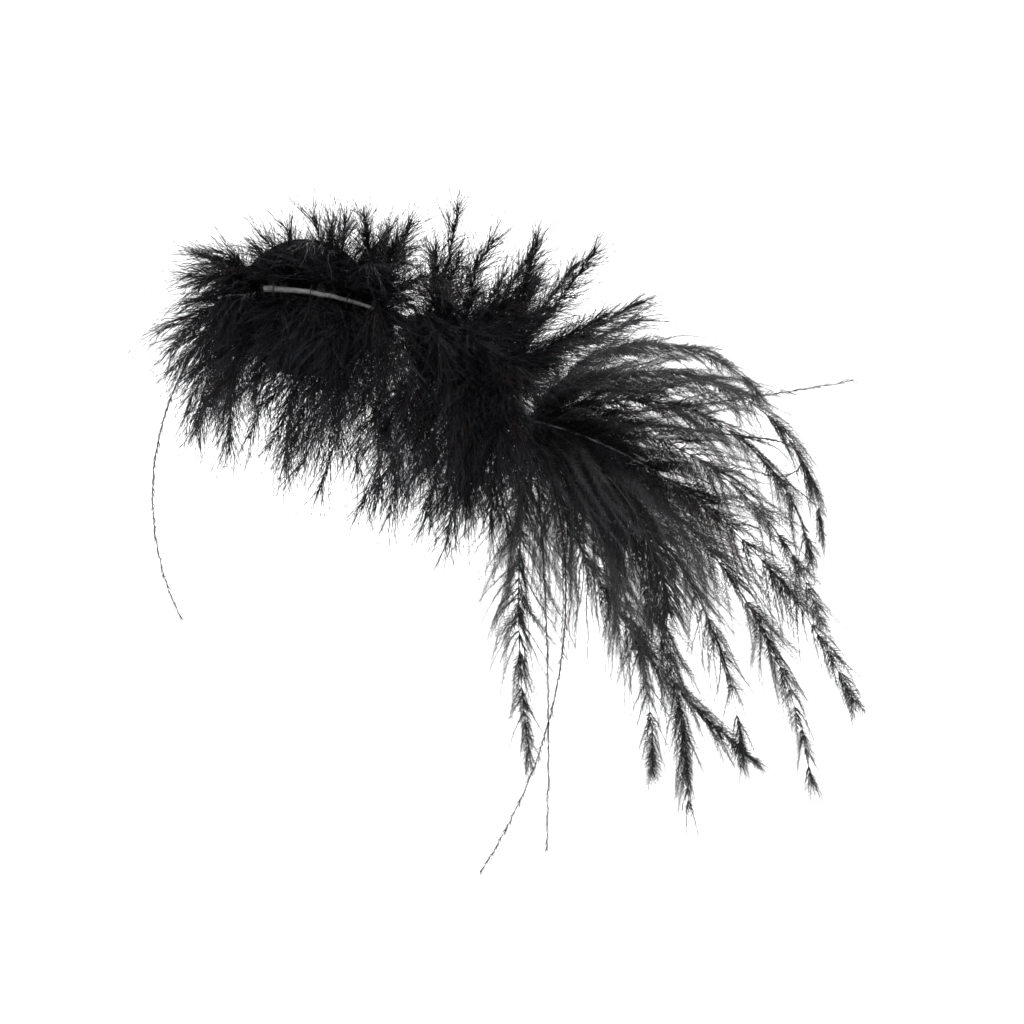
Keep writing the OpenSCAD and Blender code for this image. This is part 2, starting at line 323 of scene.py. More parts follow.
class FeatherTree(GeometryTree):
    """Grows barbs on both sides of each shaft, and barbules on both sides of each barb."""

    NAME = "feather"
    INPUTS = {
        "Seed": "Int", "Barb steps": "Int", "Barb spacing": "Float", "Barb radius": "Float",
        "Barb length spread": "Float", "Roundness": "Float", "Droop": "Float", "Sweep": "Float",
        "Waviness": "Float", "Clump size": "Float", "Barbule spacing": "Float",
        "Barbule length": "Float", "Barbule radius": "Float", "Barbule slant": "Float",
        "Parting centre": "Vector", "Parting radius": "Float", "Parting half width": "Float",
        "Parting depth": "Float", "Parting start": "Float", "Parting end": "Float",
        "Shaft finish": "Material", "Barb finish": "Material"}
    SHAFT_SIDES = 6
    BARB_SIDES = 3
    BARB_THINNING = 0.82
    SLANT_SPREAD = 0.28
    CLUMP_GAIN = 3.4

    def body(self) -> Value:
        """Returns the shafts, the barbs and the barbules."""
        put = self.put
        shafts = self.out("GeometryNodeMeshToCurve", {"Mesh": put["Geometry"]})
        barbs = self.barbs(shafts)
        radius = put["Barb radius"] * (1.0 - self.read("along") * self.BARB_THINNING)
        parts = (self.strands(shafts, self.read("girth"), self.SHAFT_SIDES, put["Shaft finish"]),
                 self.strands(barbs, radius, self.BARB_SIDES, put["Barb finish"]),
                 self.barbules(barbs))
        join = self.add("GeometryNodeJoinGeometry")
        for part in reversed(parts):
            self.tree.links.new(part.socket, join.inputs[0])
        return Value(self, join.outputs[0])

    def strands(self, curves: Value, radius: Value, sides: int, finish: Value) -> Value:
        """Returns closed tubes on the curves that narrow with the radius."""
        curves = self.store(curves, "turn", 0.0)
        sized = self.out("GeometryNodeSetCurveRadius", {"Curve": curves, "Radius": radius})
        return self.tubes(sized, self.read("radius"), sides, self.toned(0.08), finish)

    def barbs(self, shafts: Value) -> Value:
        """Returns one bent curve for each barb."""
        put, seed = self.put, self.put["Seed"]
        sown = self.sown(shafts, put["Barb spacing"])
        points = self.store(sown["Points"], "lead", sown["Tangent"], VECTOR)
        spare = self.chance(0.0, 1.0, seed + 3.0) > self.read("keep")
        points = self.out("GeometryNodeDeleteGeometry", {"Geometry": points, "Selection": spare},
                          domain="POINT")
        pairs = self.copies(points, 2, "POINT")
        roll = (pairs["Duplicate Index"] * math.pi
                + self.chance(-math.pi, math.pi, seed) * put["Roundness"])
        slant = self.read("slant") + self.chance(-self.SLANT_SPREAD, self.SLANT_SPREAD, seed)
        aim = self.aimed(roll, slant)
        shorter = 1.0 - self.chance(0.0, 1.0, seed + 7.0) * put["Barb length spread"]
        kept = self.store(pairs["Geometry"], "barb_length", self.read("reach") * shorter)
        kept = self.store(kept, "jitter", self.wild(1.0), VECTOR)
        kept = self.store(kept, "tone", self.chance(0.0, 1.0, seed))
        line = self.out("GeometryNodeCurvePrimitiveLine", {"End": (0.0, 0.0, 1.0)})
        line = self.out("GeometryNodeResampleCurve", {"Curve": line, "Count": put["Barb steps"]})
        real = self.placed(kept, line, aim, self.read("barb_length"))
        real = self.store(real, "along", self.out("GeometryNodeSplineParameter"))
        bent = self.out("GeometryNodeSetPosition", {"Geometry": real, "Offset": self.bend()})
        return self.out("GeometryNodeDeleteGeometry",
                        {"Geometry": bent, "Selection": self.in_parting() > 0.5}, domain="CURVE")

    def in_parting(self) -> Value:
        """Returns how many points of a barb lie in front of the arc that the down parts round."""
        put = self.put
        place = self.out("GeometryNodeInputPosition") - put["Parting centre"]
        part = self.outs("ShaderNodeSeparateXYZ", {0: place})
        flat = (part["X"] * part["X"] + part["Z"] * part["Z"]).step("SQRT")
        off = (flat - put["Parting radius"]).step("ABSOLUTE")
        angle = self.out("ShaderNodeMath", {0: part["Z"], 1: part["X"]}, operation="ARCTAN2")
        near = (off < put["Parting half width"]) * (part["Y"] < put["Parting depth"])
        inside = near * ((angle < put["Parting start"]) * (angle > put["Parting end"]))
        strand = self.out("GeometryNodeCurveOfPoint", output="Curve Index")
        return self.out("GeometryNodeAccumulateField", {"Value": inside, "Group Index": strand},
                        "Total", data_type="FLOAT", domain="POINT")

    def bend(self) -> Value:
        """Returns how far each point of a barb moves: down, towards the tip and at random."""
        put, along = self.put, self.read("along")
        square = along * along
        down = square * put["Droop"] * DOWNWARD
        on = self.read("lead", VECTOR) * (square * put["Sweep"])
        drift = self.out("ShaderNodeTexNoise", {
            "Vector": self.out("GeometryNodeInputPosition"), "Scale": 1.0 / put["Clump size"],
            "Detail": 1.0}, "Color")
        clump = (drift - (0.5, 0.5, 0.5)) * (along * self.CLUMP_GAIN)
        loose = (clump + self.read("jitter", VECTOR) * square) * put["Waviness"]
        return (down + on + loose) * self.read("barb_length")

    def barbules(self, barbs: Value) -> Value:
        """Returns thin closed spikes on both sides of each barb."""
        put, along = self.put, self.read("along")
        sown = self.sown(barbs, put["Barbule spacing"])
        points = self.store(sown["Points"], "lead", sown["Tangent"], VECTOR)
        points = self.store(points, "side", sown["Normal"], VECTOR)
        pairs = self.copies(points, 2, "POINT")
        own_roll = self.read("tone") * math.pi
        roll = pairs["Duplicate Index"] * math.pi + own_roll + self.chance(-0.7, 0.7, 3)
        aim = self.aimed(roll, put["Barbule slant"] + self.chance(-0.2, 0.2, 5))
        length = put["Barbule length"] * (1.0 - along * 0.45) * self.chance(0.55, 1.1, 9)
        girth = put["Barbule radius"] * (1.0 - along * 0.7)
        real = self.spikes(pairs["Geometry"], aim, girth, length, "reach")
        further = self.read("along") * 0.9 + self.read("reach") * 0.1
        return self.finished(real, further, self.toned(0.04), put["Barb finish"])


class PlyTree(GeometryTree):
    """Lays twisted plies, or a single round strand, along each line."""

    NAME = "plies"
    INPUTS = {"Ply radius": "Float", "Ply offset": "Float", "Plies": "Int",
              "Twist length": "Float", "Step": "Float", "Sides": "Int", "Finish": "Material"}

    def body(self) -> Value:
        """Returns the plies as closed tubes."""
        put = self.put
        lines = self.out("GeometryNodeMeshToCurve", {"Mesh": put["Geometry"]})
        lines = self.out("GeometryNodeResampleCurve", {"Curve": lines, "Length": put["Step"]},
                         mode="LENGTH")
        reach = self.out("GeometryNodeSplineParameter", output="Length")
        lines = self.store(lines, "reach", reach)
        lines = self.store(lines, "lead", self.out("GeometryNodeInputTangent"), VECTOR)
        lines = self.store(lines, "side", self.out("GeometryNodeInputNormal"), VECTOR)
        plies = self.copies(lines, put["Plies"], "SPLINE")
        turns = plies["Duplicate Index"] / put["Plies"] + self.read("reach") / put["Twist length"]
        out = self.turned(self.read("side", VECTOR), self.read("lead", VECTOR),
                          turns * (2.0 * math.pi))
        wound = self.out("GeometryNodeSetPosition", {"Geometry": plies["Geometry"],
                                                     "Offset": out * put["Ply offset"]})
        wound = self.store(wound, "along", self.out("GeometryNodeSplineParameter"))
        return self.tubes(wound, put["Ply radius"], put["Sides"], self.read("turn"), put["Finish"])


class FuzzTree(GeometryTree):
    """Scatters short bent fibres over a cloth."""

    NAME = "nap"
    INPUTS = {"Seed": "Int", "Fibres per square metre": "Float", "Fibre length": "Float",
              "Fibre radius": "Float", "Finish": "Material"}

    def body(self) -> Value:
        """Returns the fibres alone."""
        put = self.put
        sown = self.outs("GeometryNodeDistributePointsOnFaces", {
            "Mesh": put["Geometry"], "Density": put["Fibres per square metre"],
            "Seed": put["Seed"]})
        points = self.store(sown["Points"], "lead", sown["Normal"] + self.wild(1.3), VECTOR)
        points = self.store(points, "tone", self.chance(0.0, 1.0, put["Seed"]))
        length = put["Fibre length"] * self.chance(0.4, 1.0, 4)
        real = self.spikes(points, self.read("lead", VECTOR), put["Fibre radius"], length, "along")
        return self.finished(real, self.read("along"), self.toned(0.04), put["Finish"])


# ---------------------------------------------------------------- finishes

def strand_tone() -> bpy.types.NodeTree:
    """Makes a shader group that mixes two colours along a strand, varied between strands."""
    tree = bpy.data.node_groups.new("strand_tone", "ShaderNodeTree")
    inputs = {"Place": "Vector", "Root": "Color", "Tip": "Color", "Odd": "Color",
              "Odd share": "Float", "Tip start": "Float"}
    outputs = {"Color": "Color", "Roughness shift": "Float"}
    for way, sockets in (("INPUT", inputs), ("OUTPUT", outputs)):
        for name, kind in sockets.items():
            tree.interface.new_socket(name=name, in_out=way, socket_type="NodeSocket" + kind)
    nodes = Nodes(tree)
    put = nodes.outs("NodeGroupInput")
    place = nodes.outs("ShaderNodeSeparateXYZ", {0: put["Place"]})
    rise = nodes.out("ShaderNodeMapRange", {"Value": place["X"], "From Min": put["Tip start"],
                                            "From Max": 1.0})
    odd = (place["Y"] < put["Odd share"]) * (place["X"] * 0.8)
    mixed = nodes.mixed(odd, nodes.mixed(rise, put["Root"], put["Tip"]), put["Odd"])
    wave = (place["Y"] * 57.0).step("SINE")
    nodes.add("NodeGroupOutput", {"Color": mixed * (wave * 0.45 + 1.0),
                                  "Roughness shift": wave * 0.08})
    return tree


@dataclass(frozen=True)
class Finish:
    """One material of the object."""

    name: str

    def feeds(self, nodes: Nodes) -> dict[str, object]:
        """Returns what feeds the shader, by the name of its socket."""
        raise NotImplementedError

    @staticmethod
    def bumped(nodes: Nodes, height: Value, strength: float, depth: float) -> Value:
        """Returns a normal that follows a height."""
        return nodes.out("ShaderNodeBump", {"Height": height, "Strength": strength,
                                            "Distance": depth})

    def build(self) -> bpy.types.Material:
        """Makes the material and returns it."""
        material = bpy.data.materials.new(self.name)
        material.use_nodes = True
        material.node_tree.nodes.clear()
        nodes = Nodes(material.node_tree)
        shader = nodes.out("ShaderNodeBsdfPrincipled", self.feeds(nodes))
        nodes.add("ShaderNodeOutputMaterial", {"Surface": shader})
        return material


@dataclass(frozen=True)
class StrandFinish(Finish):
    """The finish of barbs, barbules and shafts."""

    tone: bpy.types.NodeTree
    root: Colour
    tip: Colour
    odd_share: float
    tip_start: float
    roughness: float
    specular: float
    odd: Colour = (0.045, 0.022, 0.018)

    def feeds(self, nodes: Nodes) -> dict[str, object]:
        """Returns the tone along the strand and its gloss."""
        place = nodes.out("ShaderNodeUVMap", uv_map=STRAND_UV)
        tone = nodes.outs("ShaderNodeGroup", {
            "Place": place, "Root": (*self.root, 1.0), "Tip": (*self.tip, 1.0),
            "Odd": (*self.odd, 1.0), "Odd share": self.odd_share, "Tip start": self.tip_start},
            node_tree=self.tone)
        return {"Base Color": tone["Color"], "Roughness": tone["Roughness shift"] + self.roughness,
                "Specular IOR Level": self.specular}


@dataclass(frozen=True)
class ClothFinish(Finish):
    """The finish of felt, cord, buckram and thread: a dark fibre with grain."""

    colour: Colour
    light: Colour
    scale: float
    stretch: Colour = (1.0, 1.0, 1.0)
    roughness: float = 0.85
    bump: float = 0.4
    sheen: float = 0.3

    def feeds(self, nodes: Nodes) -> dict[str, object]:
        """Returns the fibre's colour, grain and sheen."""
        place = nodes.out("ShaderNodeTexCoord", output="Object")
        place = nodes.out("ShaderNodeMapping", {"Vector": place, "Scale": self.stretch})
        fibre = nodes.grain(place, self.scale, 6.0, roughness=0.65, distortion=0.8)
        patch = nodes.grain(place, self.scale * 0.06, 2.0)
        blend = nodes.out("ShaderNodeMapRange", {"Value": fibre * (patch + 0.4),
                                                 "From Min": 0.25, "From Max": 0.75})
        return {"Base Color": nodes.mixed(blend, (*self.colour, 1.0), (*self.light, 1.0)),
                "Roughness": self.roughness, "Sheen Weight": self.sheen, "Sheen Roughness": 0.5,
                "Normal": self.bumped(nodes, fibre, self.bump, 0.4 * MM)}


@dataclass(frozen=True)
class QuillFinish(Finish):
    """The finish of a bare quill: dyed horn with fine pits and scuffed streaks."""

    dark: Colour = (0.07, 0.07, 0.075)
    pale: Colour = (0.5, 0.49, 0.48)

    def feeds(self, nodes: Nodes) -> dict[str, object]:
        """Returns the speckled colour, the gloss and the pits."""
        place = nodes.out("ShaderNodeTexCoord", output="Object")
        pits = nodes.out("ShaderNodeTexVoronoi", {"Vector": place, "Scale": 1500.0})
        streak = nodes.grain(place, 420.0, 4.0)
        mask = (pits > 0.32) * streak
        return {"Base Color": nodes.mixed(mask, (*self.dark, 1.0), (*self.pale, 1.0)),
                "Roughness": streak * 0.3 + 0.22,
                "Normal": self.bumped(nodes, pits, 0.3, 0.15 * MM)}


@dataclass(frozen=True)
class WireFinish(Finish):
    """The finish of drawn spring wire."""

    def feeds(self, nodes: Nodes) -> dict[str, object]:
        """Returns the metal's colour and its drawn streaks."""
        place = nodes.out("ShaderNodeTexCoord", output="Object")
        streak = nodes.grain(place, 900.0, 3.0)
        return {"Base Color": (0.42, 0.42, 0.43, 1.0), "Metallic": 1.0,
                "Roughness": streak * 0.25 + 0.2}


def make_finishes() -> dict[str, bpy.types.Material]:
    """Makes every material of the object and returns them by use."""
    tone = strand_tone()
    black = (0.0035, 0.0035, 0.0045)
    deep = (0.003, 0.003, 0.004)
    dull = (0.006, 0.006, 0.006)
    worn = (0.02, 0.02, 0.02)
    made = {
        # Painted highlight: the down's barbs lighten from black to a bluish grey over their outer part, standing
        # in for the sheen of light on the fluff's tips.
        "down": StrandFinish("marabou_down", tone, black, (0.034, 0.036, 0.044), 0.06, 0.45,
                             0.42, 0.14),
        "flue": StrandFinish("ostrich_flue", tone, black, (0.06, 0.06, 0.064), 0.07, 0.3,
                             0.38, 0.2),
        "web": StrandFinish("close_web", tone, deep, (0.01, 0.01, 0.013), 0.0, 0.4, 0.36, 0.2),
        "herl": StrandFinish("loose_herl", tone, (0.006, 0.005, 0.005), (0.03, 0.02, 0.018), 0.3,
                             0.3, 0.45, 0.2),
        "shaft": StrandFinish("shaft", tone, (0.05, 0.05, 0.056), (0.012, 0.012, 0.015), 0.0,
                              0.2, 0.3, 0.6),
        "fuzz": StrandFinish("felt_fuzz", tone, (0.004, 0.004, 0.005), (0.01, 0.01, 0.012), 0.0,
                             0.2, 0.7, 0.2),
        "felt": ClothFinish("wool_felt", deep, (0.011, 0.01, 0.013), 1400.0, sheen=0.05),
        "cord": ClothFinish("cotton_cord", dull, worn, 2500.0, (1.0, 1.0, 0.4), bump=0.3),
        "thread": ClothFinish("waxed_thread", (0.008, 0.008, 0.009), (0.03, 0.03, 0.032), 4000.0,
                              roughness=0.5, bump=0.2, sheen=0.1),
        "buckram": ClothFinish("buckram", dull, worn, 1100.0, bump=0.6, sheen=0.1),
        "quill": QuillFinish("bare_quill"),
        "wire": WireFinish("spring_wire")}
    return {use: finish.build() for use, finish in made.items()}


# ---------------------------------------------------------------- lines of the frame

def welded(node: str) -> tuple[list[Vector], list[int], list[set[int]]]:
    """Reads a node's mesh with the vertices that lie on each other made one.

    Args:
        node: Name of a node of the frame.

    Returns:
        The places, each vertex's place number, and the places that edges join to each place.
    """
    mesh = frame["nodes"][node].data
    index: dict[tuple, int] = {}
    spots: list[Vector] = []
    owner = []
    for vertex in mesh.vertices:
        key = tuple(round(c, 6) for c in vertex.co)
        if key not in index:
            index[key] = len(spots)
            spots.append(vertex.co.copy())
        owner.append(index[key])
    links: list[set[int]] = [set() for _ in spots]
    for edge in mesh.edges:
        a, b = (owner[v] for v in edge.vertices)
        if a != b:
            links[a].add(b)
            links[b].add(a)
    return spots, owner, links


def layers(links: list[set[int]], start: set[int]) -> list[set[int]]:
    """Returns the places by their number of edges from the start."""
    seen = set(start)
    out = [set(start)]
    while True:
        step = {n for i in out[-1] for n in links[i]} - seen
        if not step:
            return out
        seen |= step
        out.append(step)


def loose_parts(node: str) -> list[list[Vector]]:
    """Returns the vertices of each closed shell of a node."""
    spots, owner, links = welded(node)
    shell: dict[int, int] = {}
    for i in range(len(spots)):
        if i not in shell:
            shell.update((n, i) for layer in layers(links, {i}) for n in layer)
    parts: dict[int, list[Vector]] = {}
    for spot, i in zip(node_points(node), owner):
        parts.setdefault(shell[i], []).append(spot.copy())
    return list(parts.values())


@dataclass
class Spine:
    """The centre line of a swept solid of the frame, from its bound end to its tip."""

    points: list[Vector]
    sides: list[Vector]

    @classmethod
    def of(cls, node: str, near: KDTree) -> "Spine":
        """Reads the line of a node.

        Args:
            node: Name of a node that is a closed tube of rings.
            near: Points that the bound end lies close to.

        Returns:
            The node's centre line.
        """
        spots, _, links = welded(node)
        far = next(iter(layers(links, {0})[-1]))
        other = next(iter(layers(links, {far})[-1]))
        root = min((far, other), key=lambda i: near.find(spots[i])[2])
        order = sorted(range(len(spots)), key=lambda i: (spots[i] - spots[root]).length)
        rings = layers(links, set(order[:RING_SIDES]))
        centres = [sum((spots[i] for i in ring), Vector()) / len(ring) for ring in rings]
        wide = [max((spots[i] - centre for i in ring), key=lambda d: d.length)
                for ring, centre in zip(rings, centres)]
        best = max(wide, key=lambda d: d.length)
        sides = []
        for k in range(len(centres)):
            ahead = centres[min(k + 1, len(centres) - 1)] - centres[max(k - 1, 0)]
            ahead.normalize()
            sides.append((best - ahead * best.dot(ahead)).normalized())
        return cls(centres, sides)

    def length(self) -> float:
        """Returns the line's length."""
        return sum((b - a).length for a, b in zip(self.points, self.points[1:]))

    def shortened(self, share: float) -> "Spine":
        """Returns a copy that is shorter by the same share all along, from the same root."""
        root = self.points[0]
        return Spine([root + (p - root) * share for p in self.points], self.sides)

    def fanned(self, axis: Vector, angle: float, scale: float, free_from: float = 0.12,
               turn_over: float = 0.3) -> "Spine":
        """Returns a copy that turns away from this line beyond its bound start.

        Args:
            axis: Axis that the copy turns about.
            angle: Full turn, in radians.
            scale: Length against this line's.
            free_from: Share of the line that stays put.
            turn_over: Share of the line that the turn is spread over.
        """
        points, sides = [self.points[0]], [self.sides[0]]
        last = len(self.points) - 1
        for k in range(1, last + 1):
            share = min(1.0, max(0.0, (k / last - free_from) / turn_over))
            turn = Matrix.Rotation(angle * share, 3, axis)
            grown = 1.0 if k / last < free_from else scale
            points.append(points[-1] + turn @ (self.points[k] - self.points[k - 1]) * grown)
            sides.append(turn @ self.sides[k])
        return Spine(points, sides)

    def at(self, t: float) -> tuple[Vector, Vector]:
        """Returns the smooth line's point and side at a share of it."""
        count = len(self.points) - 1
        i = min(int(t * count), count - 1)
        f = t * count - i
        before, p = self.points[max(i - 1, 0)], self.points[i]
        q, after = self.points[i + 1], self.points[min(i + 2, count)]
        ends = ((q - before) * 0.5, (after - p) * 0.5)
        spot = ((2 * f**3 - 3 * f**2 + 1) * p + (f**3 - 2 * f**2 + f) * ends[0]
                + (3 * f**2 - 2 * f**3) * q + (f**3 - f**2) * ends[1])
        return spot, self.sides[i].lerp(self.sides[i + 1], f).normalized()


Course = Callable[[float], float]


@dataclass
class ShaftLines:
    """The shafts of one plume as a mesh of lines, with what the barbs need at each point."""

    steps: int
    verts: list[Vector] = field(default_factory=list)
    edges: list[tuple[int, int]] = field(default_factory=list)
    side: list[Vector] = field(default_factory=list)
    values: dict[str, list[float]] = field(default_factory=lambda: {
        key: [] for key in ("reach", "girth", "slant", "along", "tone", "keep")})
    shortest: float = 0.2 * MM
    taper: float = 0.8

    def add(self, spine: Spine, girth: float, reach: Course, slant: Course, tone: float,
            keep: Course = lambda t: 1.0) -> None:
        """Adds one shaft.

        Args:
            spine: The line that it follows.
            girth: Radius at its root.
            reach: The barbs' length at a share of the line.
            slant: The barbs' angle off the shaft at a share of the line.
            tone: The strand map's place of this shaft.
            keep: The share of barbs kept at a share of the line.
        """
        start = len(self.verts)
        for k in range(self.steps + 1):
            t = k / self.steps
            spot, side = spine.at(t)
            self.verts.append(spot)
            self.side.append(side)
            row = {"reach": max(reach(t), self.shortest), "girth": girth * (1.0 - self.taper * t),
                   "slant": slant(t), "along": t, "tone": tone, "keep": keep(t)}
            for key, value in row.items():
                self.values[key].append(value)
        self.edges += [(start + k, start + k + 1) for k in range(self.steps)]

    def mesh(self, name: str) -> bpy.types.Mesh:
        """Returns the lines as a mesh with their attributes."""
        mesh = bpy.data.meshes.new(name)
        mesh.from_pydata(self.verts, self.edges, [])
        side = mesh.attributes.new("side", VECTOR, "POINT")
        side.data.foreach_set("vector", [c for v in self.side for c in v])
        for key, row in self.values.items():
            mesh.attributes.new(key, "FLOAT", "POINT").data.foreach_set("value", row)
        return mesh


def node_points(node: str) -> list[Vector]:
    """Returns the vertices of a node of the frame."""
    return [v.co for v in frame["nodes"][node].data.vertices]


def body_with(node: str) -> str:
    """Returns the body that a node belongs to."""
    for body, nodes in frame["record"]["behaviour"]["bodies"].items():
        if node in nodes:
            return body
    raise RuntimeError(f"{node} is in no body")


def core_points() -> KDTree:
    """Returns the points of the core, which every plume starts at."""
    spots = node_points("core_cord") + node_points("plume_butts")
    tree = KDTree(len(spots))
    for i, spot in enumerate(spots):
        tree.insert(spot, i)
    tree.balance()
    return tree


def thickness(node: str) -> float:
    """Returns a node's depth from front to back."""
    low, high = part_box(node)
    return high[1] - low[1]


def span(values: list[float]) -> tuple[float, float]:
    """Returns the middle and half the width of some values."""
    return (max(values) + min(values)) / 2, (max(values) - min(values)) / 2


def mean(values: list) -> object:
    """Returns the mean of numbers or of vectors."""
    return sum(values[1:], values[0]) / len(values)


@dataclass
class Arch:
    """The circular line that the cord is bent to, read from the cord's own solid."""

    centre: Vector
    radius: float
    start: float
    length: float
    cord_radius: float

    @classmethod
    def read(cls) -> "Arch":
        """Returns the line of the frame's cord."""
        low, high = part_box("core_cord")
        ridge = [p for p in node_points("core_cord") if p.y < low[1] + 0.01 * MM]
        ends = (min(ridge, key=lambda p: p.x), max(ridge, key=lambda p: p.z),
                max(ridge, key=lambda p: p.x))
        x, z = cls.circle_centre(*((p.x, p.z) for p in ends))
        middle = Vector((x, (low[1] + high[1]) / 2, z))
        angles = [math.atan2(p.z - middle.z, p.x - middle.x) for p in ridge]
        radius = math.hypot(ends[0].x - middle.x, ends[0].z - middle.z)
        return cls(middle, radius, max(angles), (max(angles) - min(angles)) * radius,
                   (high[1] - low[1]) / 2)

    @staticmethod
    def circle_centre(a: tuple, b: tuple, c: tuple) -> tuple[float, float]:
        """Returns the centre of the circle through three points."""
        d = 2 * (a[0] * (b[1] - c[1]) + b[0] * (c[1] - a[1]) + c[0] * (a[1] - b[1]))
        sq = [p[0] ** 2 + p[1] ** 2 for p in (a, b, c)]
        x = (sq[0] * (b[1] - c[1]) + sq[1] * (c[1] - a[1]) + sq[2] * (a[1] - b[1])) / d
        z = (sq[0] * (c[0] - b[0]) + sq[1] * (a[0] - c[0]) + sq[2] * (b[0] - a[0])) / d
        return x, z

    def out(self, s: float) -> Vector:
        """Returns the outward direction at a distance along the cord."""
        a = self.start - s / self.radius
        return Vector((math.cos(a), 0.0, math.sin(a)))

    def ahead(self, s: float) -> Vector:
        """Returns the direction of the cord at a distance along it."""
        a = self.start - s / self.radius
        return Vector((math.sin(a), 0.0, -math.cos(a)))

    def at(self, s: float, out: float = 0.0, front: float = 0.0) -> Vector:
        """Returns the point that far along the cord, outwards of it and to its front."""
        return self.centre + self.out(s) * (self.radius + out) - BACK * front

    def place_of(self, p: Vector) -> tuple[float, float, float]:
        """Returns a point's distance along the cord, outwards of it and to its front."""
        angle = math.atan2(p.z - self.centre.z, p.x - self.centre.x)
        out = math.hypot(p.x - self.centre.x, p.z - self.centre.z) - self.radius
        return (self.start - angle) * self.radius, out, self.centre.y - p.y

    def places(self, spots: list[Vector]) -> list[tuple[float, ...]]:
        """Returns the distances along the cord, then those outwards, then those to the front."""
        return list(zip(*(self.place_of(p) for p in spots)))


# ---------------------------------------------------------------- pieces

def linked(name: str, data: bpy.types.ID) -> bpy.types.Object:
    """Returns a new object in the scene."""
    piece = bpy.data.objects.new(name, data)
    bpy.context.scene.collection.objects.link(piece)
    return piece


def settle(piece: bpy.types.Object, node: str) -> None:
    """Puts a piece in its node's place: it stands for the node and rides with its body."""
    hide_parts(node)
    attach(piece, body_with(node))


def round_the(ring: int, count: int) -> list[tuple[int, int]]:
    """Returns the index pairs of neighbours round one ring of a swept mesh."""
    return [(ring + j, ring + (j + 1) % count) for j in range(count)]


def mesh_object(name: str, verts: list[Vector], faces: list[tuple[int, ...]],
                finish: bpy.types.Material) -> bpy.types.Object:
    """Makes a smooth object from vertices and faces, its faces turned outwards."""
    mesh = bpy.data.meshes.new(name)
    mesh.from_pydata(verts, [], faces)
    work = bmesh.new()
    work.from_mesh(mesh)
    bmesh.ops.recalc_face_normals(work, faces=work.faces)
    work.to_mesh(mesh)
    work.free()
    for face in mesh.polygons:
        face.use_smooth = len(face.vertices) < 6
    mesh.materials.append(finish)
    return linked(name, mesh)


def tube_object(name: str, line: list[Vector], radii: list[float], sides: int,
                finish: bpy.types.Material) -> bpy.types.Object:
    """Makes a closed round tube along a line in the plane of the arch.

    Args:
        name: Name of the object.
        line: Its centre line.
        radii: Its radius at each point of the line.
        sides: Faces round it.
        finish: Its material.

    Returns:
        The tube.
    """
    verts: list[Vector] = []
    for k, (p, r) in enumerate(zip(line, radii)):
        ahead = (line[min(k + 1, len(line) - 1)] - line[max(k - 1, 0)]).normalized()
        side = ahead.cross(BACK).normalized()
        for j in range(sides):
            a = 2.0 * math.pi * j / sides
            verts.append(p + side * (r * math.cos(a)) + BACK * (r * math.sin(a)))
    faces: list[tuple[int, ...]] = [(a, b, b + sides, a + sides) for k in range(len(line) - 1)
                                    for a, b in round_the(k * sides, sides)]
    last = (len(line) - 1) * sides
    faces += [tuple(reversed(range(sides))), tuple(last + j for j in range(sides))]
    return mesh_object(name, verts, faces, finish)


@dataclass
class ThreadWork:
    """Lays twisted thread along lines, as one piece with its own body."""

    tree: PlyTree
    finish: bpy.types.Material

    def lay(self, name: str, lines: list[list[Vector]], radius: float, plies: int = 2,
            twist: float = 2.4 * MM, step: float = 0.4 * MM, sides: int = 6,
            finish: bpy.types.Material | None = None) -> bpy.types.Object:
        """Lays thread along lines.

        Args:
            name: Name of the piece.
            lines: The centre lines.
            radius: Radius over all plies.
            plies: Number of plies.
            twist: Length of one turn of the twist.
            step: Length of one facet.
            sides: Faces round one ply.
            finish: Material, the thread's own if left out.

        Returns:
            The piece.
        """
        share = math.sin(math.pi / plies) if plies > 1 else math.inf
        ply = radius if plies == 1 else radius * share / (1.0 + share)
        mesh = bpy.data.meshes.new(name)
        edges, count = [], 0
        for line in lines:
            edges += [(count + k, count + k + 1) for k in range(len(line) - 1)]
            count += len(line)
        mesh.from_pydata([p for line in lines for p in line], edges, [])
        return self.tree.grow(name, mesh, {
            "Ply radius": ply * 1.04, "Ply offset": radius - ply, "Plies": plies,
            "Twist length": twist, "Step": step, "Sides": sides, "Finish": finish or self.finish})

    def settled(self, node: str, lines: list[list[Vector]], radius: float,
                ending: str = "_thread", **how: float) -> None:
        """Lays thread in a node's place."""
        settle(self.lay(node + ending, lines, radius, **how), node)


